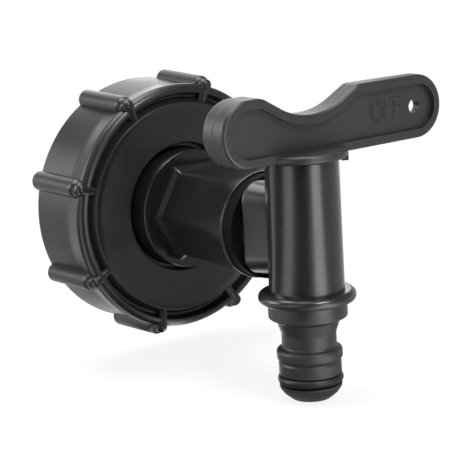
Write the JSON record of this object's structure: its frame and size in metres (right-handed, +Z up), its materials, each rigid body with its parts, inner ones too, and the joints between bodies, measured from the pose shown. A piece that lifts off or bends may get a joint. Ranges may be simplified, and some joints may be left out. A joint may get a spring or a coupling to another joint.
{
  "type": "tank coupling cap with lever tap",
  "caption": "Lugged coupling cap for a coarse tank thread, a hexagonal threaded adapter, and a quarter-turn lever tap with a quick-connect hose spigot.",
  "frame": {"origin": "on the cap's axis, at the middle of the length of its tank thread", "axes": "+Y along the pipe towards the tank, -Y towards the tap, +Z up, the spout along -Z, the closed lever's long end along +X"},
  "size_m": [0.0819, 0.0867, 0.0796],
  "materials": {
    "cap_plastic": "satin black moulding",
    "adapter_plastic": "satin black moulding",
    "tap_plastic": "glossy black moulding",
    "lever_plastic": "satin black moulding",
    "washer_rubber": "matt black rubber",
    "seal_rubber": "black rubber"
  },
  "bodies": {
    "cap": {"coupling_cap": "cap_plastic", "cap_gasket": "seal_rubber"},
    "tap": {"threaded_adapter": "adapter_plastic", "tap_washer": "washer_rubber", "tap_body": "tap_plastic", "spigot_o_ring": "seal_rubber"},
    "lever": {"lever_key": "lever_plastic", "upper_plug_o_ring": "seal_rubber", "lower_plug_o_ring": "seal_rubber"}
  },
  "joints": [
    {"name": "adapter_swivel", "type": "hinge", "parent": "cap", "child": "tap", "pos_m": [0, 0, 0], "axis": [0, -1, 0], "continuous": true},
    {"name": "lever_turn", "type": "hinge", "parent": "tap", "child": "lever", "pos_m": [0, -0.06703, 0], "axis": [0, 0, -1], "range_deg": [0, 90]}
  ]
}
